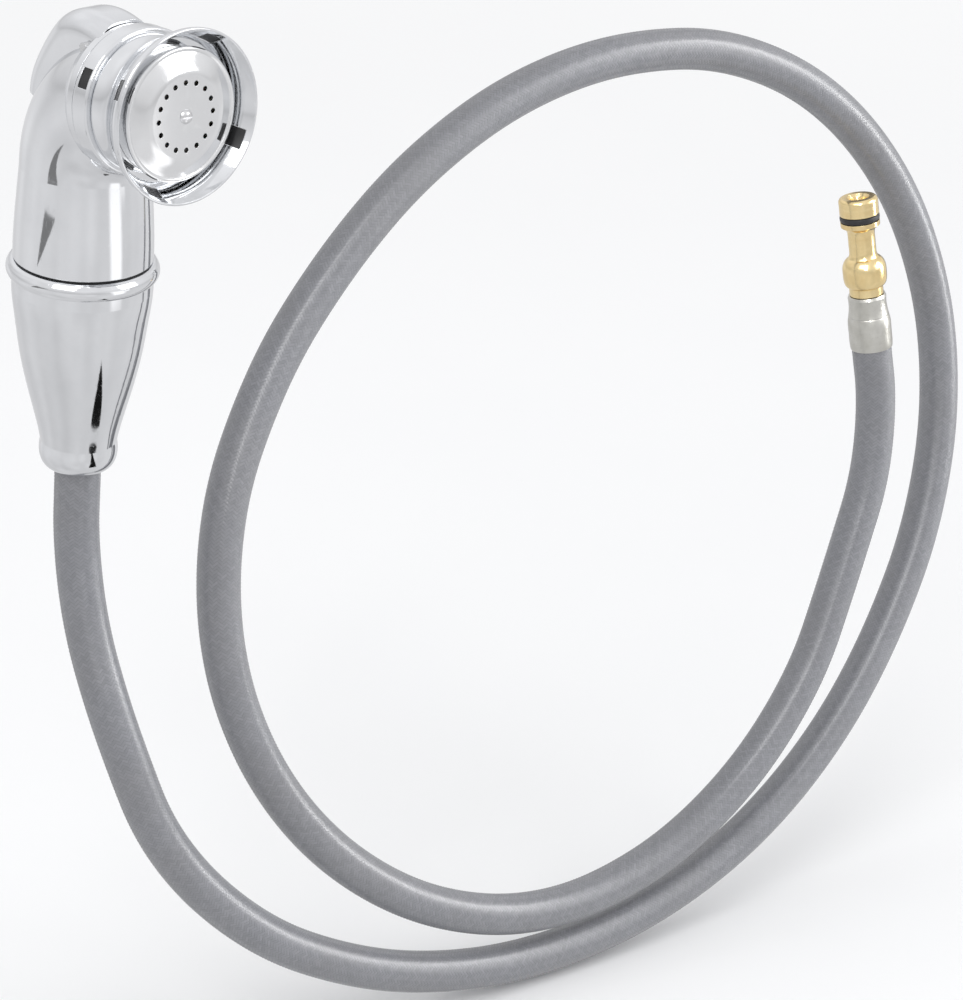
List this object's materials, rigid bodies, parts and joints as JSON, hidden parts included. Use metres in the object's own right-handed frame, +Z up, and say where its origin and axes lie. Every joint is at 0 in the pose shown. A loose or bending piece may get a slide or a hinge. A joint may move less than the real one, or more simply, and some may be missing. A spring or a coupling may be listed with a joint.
{
  "type": "pre-rinse hand spray with hose",
  "caption": "Chrome hand spray with a bent head, a lugged bell over a perforated face and a thumb lever, on a grey braided hose ending in a brass quick-connect plug.",
  "frame": {"origin": "on the handle axis, at the underside of the collar's lip, where a holder ring stops", "axes": "+Z up the handle axis, towards the head; -Y is the way the spray faces (it also rises 4 degrees); +X to the right seen from the spray side"},
  "size_m": [0.3865, 0.1258, 0.3656],
  "materials": {
    "chrome": "polished chrome plate on a metal casting",
    "face": "bright chrome plate on a moulded face",
    "braid": "satin grey woven braid",
    "liner": "smooth flexible tube",
    "ferrule": "satin nickel-plated crimp sleeve",
    "brass": "turned brass",
    "rubber": "black rubber seal",
    "lug": "black rubber lug",
    "steel": "stainless steel",
    "acetal": "white acetal"
  },
  "bodies": {
    "hose": {"hose_jacket": "braid", "hose_liner": "liner", "inlet_ferrule": "ferrule", "inlet_plug": "brass", "inlet_o_ring": "rubber", "outlet_ferrule": "ferrule", "hose_stem": "brass", "swivel_o_ring": "rubber", "swivel_clip": "steel"},
    "handset": {"handle_cone": "chrome", "collar_ring": "chrome", "collar_gasket": "rubber", "head_shell": "chrome", "inlet_bushing": "brass", "thrust_washer": "acetal", "tube_washer": "rubber", "waterway_tube": "brass", "tube_o_ring": "rubber", "strainer_screen": "steel", "check_body": "acetal", "check_o_ring": "rubber", "check_cage": "acetal", "check_spring": "steel", "valve_body": "brass", "spring_cage": "brass", "valve_spring": "steel", "stem_gland": "brass", "gland_o_ring": "rubber", "lever_pin": "steel", "nozzle_hub": "brass", "port_disc": "acetal", "face_o_ring": "rubber"},
    "thumb_lever": {"thumb_lever": "chrome"},
    "valve_stem": {"valve_stem": "brass", "valve_disc": "rubber"},
    "check_poppet": {"check_poppet": "acetal"},
    "spray_bell": {"neck_ring": "chrome", "neck_lugs": "lug", "spray_bell": "chrome", "bell_lugs": "lug", "spray_face": "face", "face_screw": "steel"}
  },
  "joints": [
    {"name": "hose_swivel", "type": "hinge", "parent": "hose", "child": "handset", "pos_m": [0, 0, -0.0337], "axis": [0, 0, 1], "continuous": true},
    {"name": "thumb_lever", "type": "hinge", "parent": "handset", "child": "thumb_lever", "pos_m": [0, -0.0125, 0.0767], "axis": [-1, 0, 0], "range_deg": [0, 7]},
    {"name": "valve_stem", "type": "slide", "parent": "handset", "child": "valve_stem", "axis": [0, 0, -1], "range_m": [0, 0.0016], "deforming": ["valve_spring"]},
    {"name": "check_poppet", "type": "slide", "parent": "handset", "child": "check_poppet", "axis": [0, 0, 1], "range_m": [0, 0.003], "stiffness_N_per_m": 60, "springref_m": -0.002, "deforming": ["check_spring"]},
    {"name": "bell_turn", "type": "hinge", "parent": "handset", "child": "spray_bell", "pos_m": [0, 0, 0.0607], "axis": [0, -0.9976, 0.0698], "range_deg": [-45, 45]}
  ],
  "couplings": [
    {"joint": "valve_stem", "follows": "thumb_lever", "m_per_rad": 0.0127}
  ]
}
